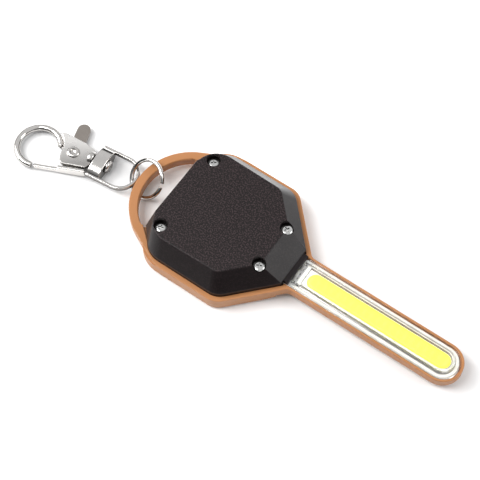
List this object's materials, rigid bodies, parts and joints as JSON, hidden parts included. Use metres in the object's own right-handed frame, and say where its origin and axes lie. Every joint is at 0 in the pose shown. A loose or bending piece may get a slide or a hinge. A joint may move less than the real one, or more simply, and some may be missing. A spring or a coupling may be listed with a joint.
{
  "type": "keychain flashlight",
  "caption": "Flat key-shaped flashlight with a long strip lamp on its blade, a screwed black cover, a back push button, a split ring and a swivel snap hook with a sprung gate",
  "frame": {"origin": "On the flat underside, below the centre of the ring loop's arc", "axes": "+X along the blade towards the lamp's tip, +Z out of the lamp's face, +Y across the body"},
  "size_m": [0.1291, 0.0374, 0.0105],
  "materials": {
    "case_tan": "satin moulded",
    "cover_black": "fine textured",
    "screw_steel": "plated",
    "lens_clear": "clear",
    "tape_white": "matte",
    "board_white": "white solder mask",
    "phosphor_yellow": "silicone with phosphor",
    "solder": "tinned",
    "lead_red": "insulation",
    "lead_black": "insulation",
    "board_green": "solder mask",
    "chip_black": "moulded",
    "resistor_brown": "fired",
    "holder_grey": "moulded",
    "cell_steel": "brushed",
    "nickel": "plated",
    "plunger_red": "moulded",
    "rubber_black": "matte",
    "ring_nickel": "polished",
    "bail_nickel": "polished",
    "hook_nickel": "polished",
    "lever_grey": "satin"
  },
  "bodies": {
    "flashlight": {"case_shell": "case_tan", "front_cover": "cover_black", "cover_screws": "screw_steel", "lens": "lens_clear", "lens_tape": "tape_white", "cob_board": "board_white", "phosphor_strip": "phosphor_yellow", "solder_tabs": "solder", "lead_red": "lead_red", "lead_black": "lead_black", "circuit_board": "board_green", "driver_chip": "chip_black", "resistors": "resistor_brown", "cell_holder": "holder_grey", "lower_cell": "cell_steel", "upper_cell": "cell_steel", "positive_clip": "nickel", "negative_spring": "nickel", "switch_body": "chip_black", "button_retainer": "holder_grey"},
    "push_button": {"back_button": "rubber_black", "switch_plunger": "plunger_red"},
    "ring": {"jump_ring": "ring_nickel"},
    "bail": {"swivel_bail": "bail_nickel"},
    "hook": {"hook_body": "hook_nickel", "gate_rivet": "hook_nickel", "gate_spring": "nickel"},
    "gate": {"gate_lever": "lever_grey"}
  },
  "joints": [
    {"name": "button_press", "type": "slide", "parent": "flashlight", "child": "push_button", "axis": [0, 0, 1], "range_m": [0, 0.00035], "stiffness_N_per_m": 2000},
    {"name": "ring_swing", "type": "hinge", "parent": "flashlight", "child": "ring", "pos_m": [-0.0143, 0, 0.00325], "axis": [0, 1, 0], "range_deg": [-60, 90]},
    {"name": "bail_slide", "type": "hinge", "parent": "ring", "child": "bail", "pos_m": [-0.0138, 0, 0.00387], "axis": [-0.2372, -0.6243, 0.7443], "range_deg": [-30, 10]},
    {"name": "hook_swivel", "type": "hinge", "parent": "bail", "child": "hook", "pos_m": [-0.0268, -0.00235, 0.0022], "axis": [0.9945, 0.1045, 0], "continuous": true},
    {"name": "gate_pivot", "type": "hinge", "parent": "hook", "child": "gate", "pos_m": [-0.0344, -0.0042, 0.0014], "axis": [0, 0, -1], "range_deg": [0, 25], "stiffness_Nm_per_rad": 0.01, "springref_deg": -20.05}
  ]
}
